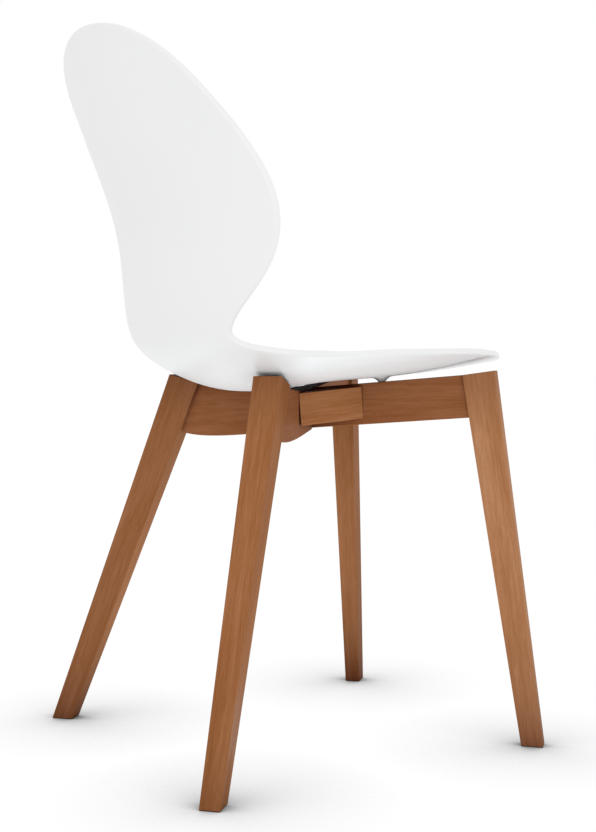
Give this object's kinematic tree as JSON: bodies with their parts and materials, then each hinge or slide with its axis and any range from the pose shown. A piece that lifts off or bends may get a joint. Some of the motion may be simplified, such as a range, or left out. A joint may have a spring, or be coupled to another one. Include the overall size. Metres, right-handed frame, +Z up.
{
  "type": "dining chair",
  "caption": "Dining chair with a one-piece moulded seat and back on a crossed-rail wooden frame with tapered splayed legs.",
  "frame": {"origin": "on the floor, under the middle of the chair's overall size", "axes": "+Z up; the chair faces -Y, so its right-hand side is -X"},
  "size_m": [0.4652, 0.5463, 0.8508],
  "materials": {
    "seat_shell": "satin white moulded plastic",
    "front_left_leg": "stained and lacquered hardwood, satin",
    "front_right_leg": "stained and lacquered hardwood, satin",
    "rear_left_leg": "stained and lacquered hardwood, satin",
    "rear_right_leg": "stained and lacquered hardwood, satin",
    "rail_front_right_to_rear_left": "stained and lacquered hardwood, satin",
    "rail_front_left_to_rear_right": "stained and lacquered hardwood, satin",
    "left_side_block": "stained and lacquered hardwood, satin",
    "right_side_block": "stained and lacquered hardwood, satin",
    "glide_plastic": "dark matt nylon",
    "zinc_steel": "zinc plated",
    "brass_inserts": "plain turned brass",
    "dowel_wood": "plain beech"
  },
  "bodies": {
    "root": {"seat_shell": "seat_shell", "front_left_leg": "front_left_leg", "front_right_leg": "front_right_leg", "rear_left_leg": "rear_left_leg", "rear_right_leg": "rear_right_leg", "rail_front_right_to_rear_left": "rail_front_right_to_rear_left", "rail_front_left_to_rear_right": "rail_front_left_to_rear_right", "left_side_block": "left_side_block", "right_side_block": "right_side_block", "front_left_glide": "glide_plastic", "front_right_glide": "glide_plastic", "rear_left_glide": "glide_plastic", "rear_right_glide": "glide_plastic", "seat_bolts": "zinc_steel", "bolt_washers": "zinc_steel", "glide_nails": "zinc_steel", "crossing_screw": "zinc_steel", "threaded_inserts": "brass_inserts", "front_leg_dowels": "dowel_wood", "rear_leg_dowels": "dowel_wood", "block_dowels": "dowel_wood"}
  },
  "joints": []
}
